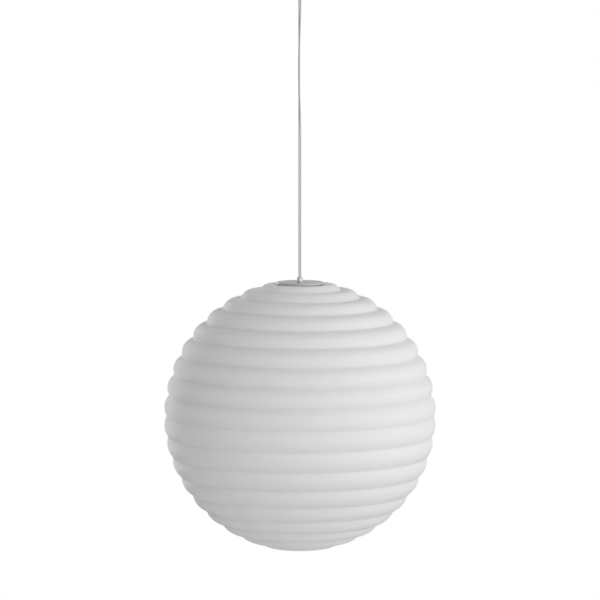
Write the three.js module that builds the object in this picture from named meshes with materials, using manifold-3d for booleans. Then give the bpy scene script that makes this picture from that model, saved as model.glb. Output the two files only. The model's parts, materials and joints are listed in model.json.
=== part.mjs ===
// A ribbed glass globe pendant lamp in the shape of a round paper lantern.
// Millimetres, +Z up. The origin is the centre of the ceiling plate's top face, and the
// lamp hangs below it. Heights that start with GLOBE_Z belong to the hanging head.
import * as THREE from "three";
import Module from "manifold-3d";
import { mergeVertices } from "three/addons/utils/BufferGeometryUtils.js";

// Clearances
const GAP = 0.3; // between two pieces that touch
const RUNNING = 0.3; // between the spheres and sleeves that turn in each other
const THREAD_GAP = 0.3; // between a screw or tube and its hole

// Globe
const GLOBE_RADIUS = 200; // over the crests of the ribs
const GLOBE_DROP = 684; // from the ceiling to the globe's centre
const RIB_ANGLE = 9; // degrees of latitude from groove to groove
const UPPER_GROOVE = 5.5; // depth of the grooves above the equator
const LOWER_GROOVE = 3.5; // and below it
const GLASS_WALL = 3.6;
const CREST_WALL = 4.4; // the blown wall is a little thicker at a crest
const POLE_DROP = 2.6; // the bottom is this much flatter than the sphere
const NECK_RADIUS = 33;
const NECK_DROP = 4.4; // the ground neck rim lies this far under the sphere
const NECK_LAND = 0.6; // the flat rim reaches this far past the lid's edge
const NECK_WALL = 6;
const SEAT_RADIUS = 46; // outer edge of the flat ring that the arms carry

// Suspension wire and flex, side by side
const WIRE_RADIUS = 0.6;
const WIRE_X = -1.6;
const FLEX_RADIUS = 1.3;
const FLEX_X = 0.75;
const CORD_HOLE = 2.7; // radius of a hole that both pass through
const STOP_LENGTH = 5;
const STOP_HALF_X = 0.8;
const STOP_HALF_Y = 1.5;

// Ceiling plate, strap and canopy
const PLATE_RADIUS = 48;
const PLATE_THICKNESS = 2;
const EAR_WIDTH = 14;
const EAR_HEIGHT = 16;
const EAR_THICKNESS = 1.5;
const EAR_SCREW_DEPTH = 10; // below the ceiling
const CANOPY_RADIUS = 55;
const CANOPY_DEPTH = 60;
const CANOPY_WALL = 1.2;
const CANOPY_HOLE = 8;
const CANOPY_TOP_GAP = 0.5; // the rim stays just clear of the ceiling
const CANOPY_EDGE = 5; // radius of the rounded lower edge
const STRAP_WIDTH = 16;
const STRAP_THICKNESS = 2;
const STRAP_HALF = 24; // from the centre to the outside of a leg
const STRAP_FOOT = 13;
const STRAP_DEPTH = 28; // underside of the web, below the ceiling
const NIPPLE_RADIUS = 5;
const NIPPLE_BORE = 3.3;
const NUT_HEIGHT = 3.5;
const NIPPLE_NUT_RIM = 2; // from the thread to a flat of the nut

// Hang-straight ball and its socket
const BALL_DEPTH = 48.5; // centre of the ball, below the ceiling
const BALL_RADIUS = 9;
const BALL_TOP = 7; // flat top, above the ball's centre
const BALL_POCKET = 3.4; // radius of the pocket for the upper wire stop
const BALL_POCKET_FLOOR = -3; // from the ball's centre
const SEAT_SHELL = 1.7; // thickness of the nylon seat
const LINER_HALF = 8.2; // half height of the liner
const LINER_WALL = 1.7; // at its thinnest
const CUP_WALL = 1.7;
const CUP_HEADROOM = 11; // inside top of the cup, above the ball's centre
const RING_HEIGHT = 1.7;
const RING_HOLE = 9.5;

// Terminal block and flex tail
const BLOCK_SIZE = [24, 16, 12];
const BLOCK_Y = 26;
const TAIL_BEND = 14;
const TAIL_GAP = 2; // between the ball's flat top and the fixed tail of the flex

// Head: stem, hub and sliding arms
const STEM_RADIUS = 5.6;
const STEM_BORE = 4;
const STEM_NUT_RIM = 1.4; // from the thread to a flat of the nut
const STEM_LENGTH = 87;
const STEM_TOP_WALL = 3;
const STEM_HEAD = 6.5; // from the arms' seat to the top of the stem
const HUB_RADIUS = 31.5;
const HUB_ROOF = 3; // over the arm slots
const COVER_THICKNESS = 2;
const ARM_COUNT = 3;
const ARM_WIDTH = 8;
const ARM_HEAD_WIDTH = 11;
const ARM_HEAD = [22, 26]; // inner and outer end of the arm's wide head
const ARM_TIP = 42.3;
const ARM_THICKNESS = 5.5;
const ARM_TRAVEL = 10.5;
const POCKET_START = 8.2;
const PEG_RADIUS = 2;
const PEG_HEIGHT = 6.3; // above the arm
const PAD_START = 32.8;
const PAD_THICKNESS = 1.5;
const SPRING_RADIUS = 2.3;
const COVER_SCREW_RING = 21;
const COVER_SCREW_RADIUS = 1.2;

// Lid and ferrule
const LID_RADIUS = 34.6;
const LID_THICKNESS = 2;
const LID_CHAMFER = 1;
const GASKET_THICKNESS = 1;
const GASKET_INSET = 0.4; // under the lid's edge
const FERRULE_RADIUS = 4.5;
const FERRULE_HEIGHT = 6.4;
const FERRULE_SCREW_RADIUS = 0.9;

// Lampholder and bulb (screw base of 27 mm)
const HOLDER_RADIUS = 19;
const HOLDER_WALL = 2;
const CAP_HEIGHT = 20;
const CAP_ON_STEM = 4; // the cap's top, above the stem's lower end
const SKIRT_HEIGHT = 34;
const SHELL_RADIUS = 14.8;
const SHELL_BORE = 13.5;
const SHELL_LENGTH = 20;
const INSERT_FLOOR = 6;
const BULB_BASE_RADIUS = 13.1;
const BULB_BASE_LENGTH = 24;
const BULB_RADIUS = 30;
const BULB_LENGTH = 78; // glass only
const BULB_WALL = 1.2;
const CONTACT_RADIUS = 4.5;
const CONTACT_HEIGHT = 2.5;

// Roundness
const FINE = 32; // segments of a large turned piece
const MEDIUM = 24;
const COARSE = 12;

// Heights that follow from the sizes above
const GLOBE_Z = -GLOBE_DROP;
const NECK_Z = GLOBE_Z + Math.sqrt(GLOBE_RADIUS ** 2 - NECK_RADIUS ** 2) - NECK_DROP;
const SEAT_Z = NECK_Z - NECK_WALL;
const ARM_TOP = SEAT_Z - GAP;
const ARM_BOTTOM = ARM_TOP - ARM_THICKNESS;
const COVER_TOP = ARM_BOTTOM - GAP;
const COVER_BOTTOM = COVER_TOP - COVER_THICKNESS;
const HUB_TOP = SEAT_Z + HUB_ROOF;
const STEM_TOP = SEAT_Z + STEM_HEAD;
const STEM_BOTTOM = STEM_TOP - STEM_LENGTH;
const LID_BOTTOM = NECK_Z + GASKET_THICKNESS + 2 * GAP;
const LID_TOP = LID_BOTTOM + LID_THICKNESS;
const CAP_TOP = STEM_BOTTOM + CAP_ON_STEM;
const SKIRT_TOP = CAP_TOP - CAP_HEIGHT - GAP;
const SKIRT_BOTTOM = SKIRT_TOP - SKIRT_HEIGHT;
const INSERT_TOP = SKIRT_TOP - GAP;
const SOCKET_FLOOR = INSERT_TOP - INSERT_FLOOR;
const HOLDER_CONTACT_BOTTOM = SOCKET_FLOOR - 2 * GAP - 1;
const BULB_TOP = HOLDER_CONTACT_BOTTOM - GAP;
const BULB_BASE_TOP = BULB_TOP - CONTACT_HEIGHT - GAP;
const BULB_BASE_BOTTOM = BULB_BASE_TOP - BULB_BASE_LENGTH;
const BALL_Z = -BALL_DEPTH;
const SEAT_OUTER = BALL_RADIUS + RUNNING + SEAT_SHELL;
const LINER_SPHERE = SEAT_OUTER + RUNNING;
const LINER_OUTER = LINER_SPHERE + LINER_WALL;
const CUP_BORE = LINER_OUTER + RUNNING;
const CUP_OUTER = CUP_BORE + CUP_WALL;
const CUP_TOP = BALL_Z + CUP_HEADROOM + CUP_WALL;
const WEB_TOP = -STRAP_DEPTH + STRAP_THICKNESS;
const STEM_NUT_FLATS = 2 * (STEM_RADIUS + STEM_NUT_RIM);
const NIPPLE_TOP = WEB_TOP + GAP + NUT_HEIGHT + 1.5;

// The flex's way from the ball to the lampholder: straight out of the ball, once loosely
// behind the wire, and straight again where the lid slides along it.
const FLEX_ROUTE = [
  [0.75, 0, -41],
  [0.75, 0, -50],
  [0.75, 0, -60],
  [0.75, 0, -72],
  [0.65, 0.5, -88],
  [0.25, 1.3, -106],
  [-0.6, 2.1, -130],
  [-1.15, 2.3, -160],
  [-1.15, 2.3, -190],
  [-0.85, 2.2, -214],
  [-0.1, 1.9, -235],
  [0.5, 1.2, -255],
  [0.75, 0.4, -275],
  [0.75, 0, -295],
  [0.75, 0, -330],
  [0.75, 0, -370],
  [0.75, 0, -420],
  [0.75, 0, -470],
  [0.75, 0, -520],
  [0.75, 0, -570],
  [0.75, 0, -588],
];

const wasm = await Module();
wasm.setup();

const lamp = new THREE.Group();

function finish(colour, roughness, metalness) {
  return new THREE.MeshStandardMaterial({ color: colour, roughness, metalness });
}

const STEEL = finish("#b9bab8", 0.32, 1);
const ZINC = finish("#a9acae", 0.42, 1);
const WIRE_STEEL = finish("#8d8f90", 0.35, 1);
const BRASS = finish("#b99a55", 0.35, 1);
const NYLON = finish("#e6e4dc", 0.55, 0);
const WHITE_PLASTIC = finish("#e9e8e3", 0.4, 0);
const CERAMIC = finish("#f0eee8", 0.3, 0);
const FLEX_COAT = finish("#d3d3d0", 0.35, 0);
const RUBBER = finish("#3b3b3c", 0.8, 0);
const SILICONE = finish("#d6d6d4", 0.6, 0);
const OPAL_GLASS = finish("#f1f2f2", 0.45, 0);
const BULB_GLASS = finish("#f6f4ee", 0.4, 0);

function add(name, geometry, material) {
  const mesh = new THREE.Mesh(geometry, material);
  mesh.name = name;
  lamp.add(mesh);
  return mesh;
}

// A turned piece: the profile is a list of [radius, height], starts and ends on the axis
// or closes on itself, and may run either way round.
function turned(profile, segments = MEDIUM) {
  const onAxis = profile[0][0] === 0;
  const points = profile.map(([r, z]) => new THREE.Vector2(r, z));
  if (THREE.ShapeUtils.area(points) < 0) {
    points.reverse();
  }
  if (!onAxis) {
    points.push(points[0].clone());
  }
  return new THREE.LatheGeometry(points, segments).rotateX(Math.PI / 2);
}

function tube(outer, inner, bottom, top, segments = MEDIUM) {
  const profile = [
    [inner, bottom],
    [outer, bottom],
    [outer, top],
    [inner, top],
  ];
  return turned(profile, segments);
}

function rod(radius, bottom, top, segments = COARSE) {
  return new THREE.CylinderGeometry(radius, radius, top - bottom, segments)
    .rotateX(Math.PI / 2)
    .translate(0, 0, (top + bottom) / 2);
}

// A box between two corners.
function block(low, high) {
  const [x, y, z] = high.map((v, i) => v - low[i]);
  return new THREE.BoxGeometry(x, y, z).translate(low[0] + x / 2, low[1] + y / 2, low[2] + z / 2);
}

// A rod that lies along X between two places.
function crossRod(radius, from, to, y, z, segments = COARSE) {
  return new THREE.CylinderGeometry(radius, radius, Math.abs(to - from), segments)
    .rotateZ(Math.PI / 2)
    .translate((from + to) / 2, y, z);
}

function solid(geometry) {
  const bare = geometry.clone();
  bare.deleteAttribute("normal");
  bare.deleteAttribute("uv");
  const merged = mergeVertices(bare, 1e-4);
  const vertProperties = merged.attributes.position.array;
  const triVerts = new Uint32Array(merged.index.array);
  return new wasm.Manifold(new wasm.Mesh({ numProp: 3, vertProperties, triVerts }));
}

function surface(manifold) {
  const mesh = manifold.getMesh();
  const geometry = new THREE.BufferGeometry();
  geometry.setAttribute("position", new THREE.BufferAttribute(mesh.vertProperties, 3));
  geometry.setIndex(new THREE.BufferAttribute(mesh.triVerts, 1));
  geometry.computeVertexNormals();
  return geometry;
}

function cut(geometry, ...tools) {
  return surface(tools.reduce((left, tool) => left.subtract(solid(tool)), solid(geometry)));
}

function join(geometry, ...more) {
  return surface(more.reduce((whole, piece) => whole.add(solid(piece)), solid(geometry)));
}

function hexNut(flats, bore, bottom, top) {
  return cut(rod(flats / Math.sqrt(3), bottom, top, 6), rod(bore, bottom - 1, top + 1, MEDIUM));
}

// A screw along Z with its head below: a shank, a round head and a slot.
function hangingScrew(shank, headRadius, headHeight, headTop, tip) {
  const head = rod(headRadius, headTop - headHeight, headTop, COARSE);
  const whole = join(head, rod(shank, headTop - headHeight / 2, tip, COARSE));
  const slotDepth = headHeight * 0.4;
  const low = [-headRadius - 1, -0.3, headTop - headHeight - 1];
  const high = [headRadius + 1, 0.3, headTop - headHeight + slotDepth];
  return cut(whole, block(low, high));
}

// A piece turned about the lamp's axis to one of the three arms' places.
function aroundAxis(geometry, index, offset = 0) {
  const angle = (2 * Math.PI * index) / ARM_COUNT + offset;
  return geometry.clone().rotateZ(Math.PI / 2 + angle);
}

function sideways(geometry, x, y) {
  return geometry.clone().translate(x, y, 0);
}

// ---- Ceiling plate, strap, terminal block and canopy ----

function addCeilingPlate() {
  const disc = rod(PLATE_RADIUS, -PLATE_THICKNESS, 0, FINE);
  const ears = [-1, 1].map((side) => {
    const outside = PLATE_RADIUS * Math.cos(Math.asin(EAR_WIDTH / 2 / PLATE_RADIUS)) - 0.4;
    const xs = [side * outside, side * (outside - EAR_THICKNESS)].sort((a, b) => a - b);
    const ear = block([xs[0], -EAR_WIDTH / 2, -EAR_HEIGHT], [xs[1], EAR_WIDTH / 2, -PLATE_THICKNESS / 2]);
    return cut(ear, crossRod(1.6 + THREAD_GAP, xs[0] - 1, xs[1] + 1, 0, -EAR_SCREW_DEPTH));
  });
  const slots = [-1, 1].map((side) => {
    const slot = block([-2.4, -7, -PLATE_THICKNESS - 1], [2.4, 7, 1]);
    return slot.rotateZ(-Math.PI / 4).translate(side * 26, -side * 26, 0);
  });
  const cableEntry = sideways(rod(7, -PLATE_THICKNESS - 1, 1, MEDIUM), 0, -30);
  const screwHoles = [-1, 1].map((side) =>
    sideways(rod(2 + THREAD_GAP, -PLATE_THICKNESS - 1, 1), side * (STRAP_HALF + STRAP_FOOT / 2), 0),
  );
  add("ceiling_plate", cut(join(disc, ...ears), ...slots, cableEntry, ...screwHoles), ZINC);
}

function addStrap() {
  const half = STRAP_WIDTH / 2;
  const top = -PLATE_THICKNESS - GAP;
  const web = block([-STRAP_HALF, -half, -STRAP_DEPTH], [STRAP_HALF, half, WEB_TOP]);
  const sides = [-1, 1].flatMap((side) => {
    const leg = [side * STRAP_HALF, side * (STRAP_HALF - STRAP_THICKNESS)].sort((a, b) => a - b);
    const foot = [side * (STRAP_HALF - STRAP_THICKNESS), side * (STRAP_HALF + STRAP_FOOT)];
    foot.sort((a, b) => a - b);
    return [
      block([leg[0], -half, -STRAP_DEPTH], [leg[1], half, top]),
      block([foot[0], -half, top - STRAP_THICKNESS], [foot[1], half, top]),
    ];
  });
  const holes = [-1, 1].map((side) =>
    sideways(rod(2 + THREAD_GAP, -10, 0), side * (STRAP_HALF + STRAP_FOOT / 2), 0),
  );
  const nippleHole = rod(NIPPLE_RADIUS + THREAD_GAP, -STRAP_DEPTH - 1, WEB_TOP + 1, MEDIUM);
  add("bridge_strap", cut(join(web, ...sides), nippleHole, ...holes), ZINC);

  const headTop = top - STRAP_THICKNESS - GAP;
  [-1, 1].forEach((side, i) => {
    const screw = hangingScrew(2, 3.6, 2.2, headTop, -GAP);
    add(`strap_screw_${i + 1}`, sideways(screw, side * (STRAP_HALF + STRAP_FOOT / 2), 0), STEEL);
  });
}

function addNipple() {
  const bottom = CUP_TOP - CUP_WALL;
  add("threaded_nipple", tube(NIPPLE_RADIUS, NIPPLE_BORE, bottom, NIPPLE_TOP), BRASS);
  const bore = NIPPLE_RADIUS + THREAD_GAP;
  const upper = WEB_TOP + GAP;
  const lower = -STRAP_DEPTH - GAP;
  const flats = 2 * (NIPPLE_RADIUS + NIPPLE_NUT_RIM);
  add("nipple_nut_upper", hexNut(flats, bore, upper, upper + NUT_HEIGHT), BRASS);
  add("nipple_nut_lower", hexNut(flats, bore, lower - NUT_HEIGHT, lower), BRASS);
}

function addTerminalBlock() {
  const [x, y, z] = BLOCK_SIZE;
  const top = -PLATE_THICKNESS - GAP;
  const body = block([-x / 2, BLOCK_Y - y / 2, top - z], [x / 2, BLOCK_Y + y / 2, top]);
  const waists = [-1, 1].map((side) =>
    block([side * 4 - 0.8, BLOCK_Y - y, top - z - 1], [side * 4 + 0.8, BLOCK_Y + y, top - z + 4]),
  );
  const wells = [-8, 0, 8].map((at) => sideways(rod(2.2, top - z - 1, top - z + 3), at, BLOCK_Y));
  add("terminal_block", cut(body, ...waists, ...wells), WHITE_PLASTIC);
  [-8, 0, 8].forEach((at, i) => {
    const screw = hangingScrew(1, 1.8, 1.6, top - z + 2.4, top - z + 2.7);
    add(`terminal_screw_${i + 1}`, sideways(screw, at, BLOCK_Y), BRASS);
  });
}

function addCanopy() {
  const top = -CANOPY_TOP_GAP;
  const bottom = -CANOPY_DEPTH;
  const inner = CANOPY_RADIUS - CANOPY_WALL;
  const floor = bottom + CANOPY_WALL;
  const edge = [15, 45, 75].map((degrees) => (degrees * Math.PI) / 180);
  const outerEdge = edge.map((a) => [
    CANOPY_RADIUS - CANOPY_EDGE * (1 - Math.sin(a)),
    bottom + CANOPY_EDGE * (1 - Math.cos(a)),
  ]);
  const innerEdge = edge.toReversed().map((a) => [
    inner - (CANOPY_EDGE - CANOPY_WALL) * (1 - Math.sin(a)),
    floor + (CANOPY_EDGE - CANOPY_WALL) * (1 - Math.cos(a)),
  ]);
  const profile = [[CANOPY_HOLE, bottom], ...outerEdge, [CANOPY_RADIUS, top], [inner, top]];
  profile.push(...innerEdge, [CANOPY_HOLE, floor]);
  const holes = crossRod(1.6 + THREAD_GAP, -CANOPY_RADIUS - 2, CANOPY_RADIUS + 2, 0, -EAR_SCREW_DEPTH);
  add("canopy_cup", cut(turned(profile, FINE), holes), STEEL);

  [-1, 1].forEach((side, i) => {
    const headIn = CANOPY_RADIUS + GAP;
    const head = crossRod(3.2, side * headIn, side * (headIn + 2), 0, -EAR_SCREW_DEPTH);
    const shank = crossRod(1.6, side * (PLATE_RADIUS - 5), side * (headIn + 1), 0, -EAR_SCREW_DEPTH);
    const slotAt = side * (headIn + 2);
    const slot = block([slotAt - 0.7, -4, -EAR_SCREW_DEPTH - 0.4], [slotAt + 0.7, 4, -EAR_SCREW_DEPTH + 0.4]);
    add(`canopy_screw_${i + 1}`, cut(join(head, shank), slot), STEEL);
  });
}

// ---- Hang-straight ball joint ----

// Points of a circle about the ball's centre, from one angle above the horizontal to
// another, both in degrees.
function ballArc(radius, from, to, steps) {
  return Array.from({ length: steps + 1 }, (_, i) => {
    const angle = ((from + ((to - from) * i) / steps) * Math.PI) / 180;
    return [radius * Math.cos(angle), BALL_Z + radius * Math.sin(angle)];
  });
}

function angleAtHeight(radius, height) {
  return (Math.asin(height / radius) * 180) / Math.PI;
}

function addSocket() {
  const shoulder = BALL_Z + LINER_HALF + GAP;
  const foot = BALL_Z - LINER_HALF - GAP;
  const cup = [
    [CUP_OUTER, foot + GAP],
    [CUP_OUTER, CUP_TOP],
    [NIPPLE_RADIUS + THREAD_GAP, CUP_TOP],
    [NIPPLE_RADIUS + THREAD_GAP, CUP_TOP - CUP_WALL],
    [CUP_BORE - 1.3, CUP_TOP - CUP_WALL],
    [CUP_BORE - 1.3, shoulder],
    [CUP_BORE, shoulder],
    [CUP_BORE, foot + GAP],
  ];
  add("socket_cup", turned(cup, FINE), STEEL);
  add("socket_ring", tube(CUP_OUTER, RING_HOLE, foot - RING_HEIGHT, foot, FINE), STEEL);

  const edge = angleAtHeight(LINER_SPHERE, LINER_HALF);
  const liner = [
    ...ballArc(LINER_SPHERE, -edge, edge, 8),
    [LINER_OUTER, BALL_Z + LINER_HALF],
    [LINER_OUTER, BALL_Z - LINER_HALF],
  ];
  add("socket_liner", turned(liner), NYLON);
}

function addBall() {
  const seat = [...ballArc(BALL_RADIUS + RUNNING, -50, 25, 6), ...ballArc(SEAT_OUTER, 25, -50, 6)];
  add("ball_seat", turned(seat), NYLON);

  const ball = [
    [0, BALL_Z - BALL_RADIUS],
    ...ballArc(BALL_RADIUS, -80, angleAtHeight(BALL_RADIUS, BALL_TOP), 10),
    [BALL_POCKET, BALL_Z + BALL_TOP],
    [BALL_POCKET, BALL_Z + BALL_POCKET_FLOOR],
    [0, BALL_Z + BALL_POCKET_FLOOR],
  ];
  const low = BALL_Z - BALL_RADIUS - 1;
  const high = BALL_Z + BALL_POCKET_FLOOR + 1;
  const wireHole = sideways(rod(WIRE_RADIUS + GAP, low, high), WIRE_X, 0);
  const flexHole = sideways(rod(FLEX_RADIUS + GAP, low, high), FLEX_X, 0);
  add("hang_ball", cut(turned(ball), wireHole, flexHole), STEEL);
}

// ---- Wire and flex ----

function roundSection(radius, sides) {
  const points = Array.from({ length: sides }, (_, i) => {
    const angle = (2 * Math.PI * i) / sides;
    return new THREE.Vector2(radius * Math.cos(angle), radius * Math.sin(angle));
  });
  return new THREE.Shape(points);
}

function cord(points, radius, steps) {
  const path = new THREE.CatmullRomCurve3(points.map((p) => new THREE.Vector3(...p)));
  return new THREE.ExtrudeGeometry(roundSection(radius, 8), { steps, extrudePath: path });
}

// The crimped stop of the wire is a short flattened bar.
function wireStop(bottom) {
  const outline = new THREE.Shape();
  outline.absellipse(WIRE_X, 0, STOP_HALF_X, STOP_HALF_Y, 0, 2 * Math.PI);
  const options = { depth: STOP_LENGTH, bevelEnabled: false, curveSegments: 8 };
  return new THREE.ExtrudeGeometry(outline, options).translate(0, 0, bottom);
}

function addCords() {
  const wireTop = BALL_Z + BALL_POCKET_FLOOR;
  const wireBottom = STEM_TOP - STEM_TOP_WALL;
  const length = wireTop - wireBottom;
  const places = [0, 1, 2, 3, 4, 5, 6].map((i) => [WIRE_X, 0, wireTop - (length * i) / 6]);
  add("suspension_wire", cord(places, WIRE_RADIUS, 24), WIRE_STEEL);
  add("upper_wire_stop", wireStop(wireTop + GAP), ZINC);
  add("lower_wire_stop", wireStop(wireBottom - GAP - STOP_LENGTH), ZINC);
  add("power_flex", cord(FLEX_ROUTE, FLEX_RADIUS, 60), FLEX_COAT);

  const start = BALL_Z + BALL_TOP + TAIL_GAP;
  const turnZ = -PLATE_THICKNESS - 7.5 - TAIL_BEND;
  const bend = [15, 30, 45, 60, 75, 90].map((degrees) => {
    const a = (degrees * Math.PI) / 180;
    return [FLEX_X, TAIL_BEND * (1 - Math.cos(a)), turnZ + TAIL_BEND * Math.sin(a)];
  });
  const end = [FLEX_X, BLOCK_Y - BLOCK_SIZE[1] / 2 - GAP, turnZ + TAIL_BEND];
  const risers = [0, 1, 2].map((i) => [FLEX_X, 0, start + ((turnZ - start) * i) / 2]);
  add("flex_tail", cord([...risers, ...bend, end], FLEX_RADIUS, 10), FLEX_COAT);
}

// ---- Head ----

function addStem() {
  const profile = [
    [0, STEM_TOP - STEM_TOP_WALL],
    [STEM_BORE, STEM_TOP - STEM_TOP_WALL],
    [STEM_BORE, STEM_BOTTOM],
    [STEM_RADIUS, STEM_BOTTOM],
    [STEM_RADIUS, STEM_TOP],
    [0, STEM_TOP],
  ];
  const low = STEM_TOP - STEM_TOP_WALL - 1;
  const wireHole = sideways(rod(WIRE_RADIUS + GAP, low, STEM_TOP + 1), WIRE_X, 0);
  const flexHole = sideways(rod(FLEX_RADIUS + GAP, low, STEM_TOP + 1), FLEX_X, 0);
  add("hollow_stem", cut(turned(profile), wireHole, flexHole), BRASS);
  const bore = STEM_RADIUS + THREAD_GAP;
  const above = HUB_TOP + GAP;
  const below = COVER_BOTTOM - GAP;
  add("stem_nut_upper", hexNut(STEM_NUT_FLATS, bore, above, above + NUT_HEIGHT - 1), BRASS);
  add("stem_nut_lower", hexNut(STEM_NUT_FLATS, bore, below - NUT_HEIGHT, below), BRASS);
}

function addHub() {
  const bore = STEM_RADIUS + THREAD_GAP;
  const disc = tube(HUB_RADIUS, bore, ARM_BOTTOM, HUB_TOP, FINE);
  const cuts = [];
  for (let i = 0; i < ARM_COUNT; i += 1) {
    const wide = ARM_HEAD_WIDTH / 2 + GAP;
    const narrow = ARM_WIDTH / 2 + GAP;
    const peg = PEG_RADIUS + GAP;
    const floor = ARM_BOTTOM - 1;
    const pocket = block([POCKET_START, -wide, floor], [ARM_HEAD[1] + GAP, wide, SEAT_Z]);
    const mouth = block([ARM_HEAD[1], -narrow, floor], [HUB_RADIUS + 1, narrow, SEAT_Z]);
    const pegAt = (ARM_HEAD[0] + ARM_HEAD[1]) / 2;
    const low = [pegAt - ARM_TRAVEL - peg, -peg, SEAT_Z - 1];
    const pegSlot = block(low, [pegAt + peg, peg, HUB_TOP + 1]);
    const screwHole = sideways(rod(COVER_SCREW_RADIUS + THREAD_GAP, floor, SEAT_Z), COVER_SCREW_RING, 0);
    cuts.push(aroundAxis(pocket, i), aroundAxis(mouth, i), aroundAxis(pegSlot, i));
    cuts.push(aroundAxis(screwHole, i, Math.PI / 3));
  }
  add("carrier_hub", cut(disc, ...cuts), ZINC);

  const plate = tube(HUB_RADIUS, bore, COVER_BOTTOM, COVER_TOP, FINE);
  const hole = rod(COVER_SCREW_RADIUS + THREAD_GAP, COVER_BOTTOM - 1, COVER_TOP + 1);
  const placedHole = sideways(hole, COVER_SCREW_RING, 0);
  const holes = [0, 1, 2].map((i) => aroundAxis(placedHole, i, Math.PI / 3));
  add("hub_cover", cut(plate, ...holes), ZINC);
  for (let i = 0; i < ARM_COUNT; i += 1) {
    const screw = hangingScrew(COVER_SCREW_RADIUS, 2.4, 1.6, COVER_BOTTOM - GAP, SEAT_Z - GAP);
    const placed = aroundAxis(sideways(screw, COVER_SCREW_RING, 0), i, Math.PI / 3);
    add(`cover_screw_${i + 1}`, placed, STEEL);
  }
}

// Three flat arms slide outwards under the glass. Each has a wide head that a spring
// pushes against, and a peg to draw it in by.
function addArms() {
  const [headIn, headOut] = ARM_HEAD;
  const recess = ARM_TOP - PAD_THICKNESS - GAP;
  const head = block([headIn, -ARM_HEAD_WIDTH / 2, ARM_BOTTOM], [headOut, ARM_HEAD_WIDTH / 2, ARM_TOP]);
  const bar = block([headIn, -ARM_WIDTH / 2, ARM_BOTTOM], [ARM_TIP, ARM_WIDTH / 2, ARM_TOP]);
  const step = block([PAD_START - GAP, -ARM_WIDTH, recess], [ARM_TIP + 1, ARM_WIDTH, ARM_TOP + 1]);
  const peg = sideways(rod(PEG_RADIUS, ARM_TOP - 1, ARM_TOP + PEG_HEIGHT), (headIn + headOut) / 2, 0);
  const arm = join(cut(join(head, bar), step), peg);
  const pad = block([PAD_START, -ARM_WIDTH / 2, recess + GAP], [ARM_TIP, ARM_WIDTH / 2, ARM_TOP]);
  const springZ = (ARM_TOP + ARM_BOTTOM) / 2;
  const spring = tube(SPRING_RADIUS, SPRING_RADIUS - 0.7, 0, headIn - POCKET_START - 2 * GAP, COARSE);
  const lying = spring.rotateY(Math.PI / 2).translate(POCKET_START + GAP, 0, springZ);
  for (let i = 0; i < ARM_COUNT; i += 1) {
    add(`support_arm_${i + 1}`, aroundAxis(arm, i), ZINC);
    add(`arm_pad_${i + 1}`, aroundAxis(pad, i), RUBBER);
    add(`arm_spring_${i + 1}`, aroundAxis(lying, i), STEEL);
  }
}

function addGlobe() {
  const at = (radius, degrees) => {
    const angle = (degrees * Math.PI) / 180;
    return [radius * Math.cos(angle), GLOBE_Z + radius * Math.sin(angle)];
  };
  const depthAt = (degrees) => (degrees > 0 ? UPPER_GROOVE : LOWER_GROOVE);
  const topGroove = 90 - 2 * RIB_ANGLE;
  const bottomGroove = -90 + RIB_ANGLE;
  const neckAngle = (Math.acos(NECK_RADIUS / GLOBE_RADIUS) * 180) / Math.PI;

  const inner = [[0, GLOBE_Z - GLOBE_RADIUS + POLE_DROP + GLASS_WALL]];
  for (let angle = bottomGroove; angle <= topGroove; angle += RIB_ANGLE) {
    inner.push(at(GLOBE_RADIUS - depthAt(angle) - GLASS_WALL, angle));
    if (angle < topGroove) {
      inner.push(at(GLOBE_RADIUS - CREST_WALL, angle + RIB_ANGLE / 2));
    }
  }
  inner.push([SEAT_RADIUS, SEAT_Z], [NECK_RADIUS, SEAT_Z]);

  // A rib is three straight strips here: up from its groove, over the crest, and down.
  const outer = [[NECK_RADIUS, NECK_Z], [LID_RADIUS + NECK_LAND, NECK_Z]];
  const rib = (from, to) => {
    const crest = GLOBE_RADIUS - depthAt((from + to) / 2) * 0.06;
    outer.push(at(crest, from + (to - from) * 0.25));
    outer.push(at(crest, from + (to - from) * 0.75));
  };
  rib(neckAngle, topGroove);
  for (let angle = topGroove; angle > bottomGroove; angle -= RIB_ANGLE) {
    outer.push(at(GLOBE_RADIUS - depthAt(angle), angle));
    rib(angle, angle - RIB_ANGLE);
  }
  outer.push(at(GLOBE_RADIUS - LOWER_GROOVE, bottomGroove));
  outer.push([0, GLOBE_Z - GLOBE_RADIUS + POLE_DROP]);
  add("glass_globe", turned([...inner, ...outer], FINE), OPAL_GLASS);
}

// ---- Lid ----

function addLid() {
  const lid = [
    [CORD_HOLE, LID_BOTTOM],
    [LID_RADIUS, LID_BOTTOM],
    [LID_RADIUS, LID_TOP - LID_CHAMFER],
    [LID_RADIUS - LID_CHAMFER, LID_TOP],
    [CORD_HOLE, LID_TOP],
  ];
  add("neck_lid", turned(lid, FINE), STEEL);
  const gasketTop = LID_BOTTOM - GAP;
  const gasketInner = NECK_RADIUS - 1;
  const gasketBottom = gasketTop - GASKET_THICKNESS;
  add("lid_gasket", tube(LID_RADIUS - GASKET_INSET, gasketInner, gasketBottom, gasketTop, FINE), SILICONE);

  const foot = LID_TOP + GAP;
  const screwZ = foot + FERRULE_HEIGHT / 2;
  const screw = new THREE.CylinderGeometry(FERRULE_SCREW_RADIUS, FERRULE_SCREW_RADIUS, 1.3, 8);
  const hole = new THREE.CylinderGeometry(FERRULE_SCREW_RADIUS + 0.2, FERRULE_SCREW_RADIUS + 0.2, 4, 8);
  const ferrule = tube(FERRULE_RADIUS, CORD_HOLE, foot, foot + FERRULE_HEIGHT);
  add("cord_ferrule", cut(ferrule, hole.translate(0, FERRULE_RADIUS - 0.5, screwZ)), STEEL);
  add("ferrule_screw", screw.translate(0, FERRULE_RADIUS - 0.65, screwZ), WIRE_STEEL);
}

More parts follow.
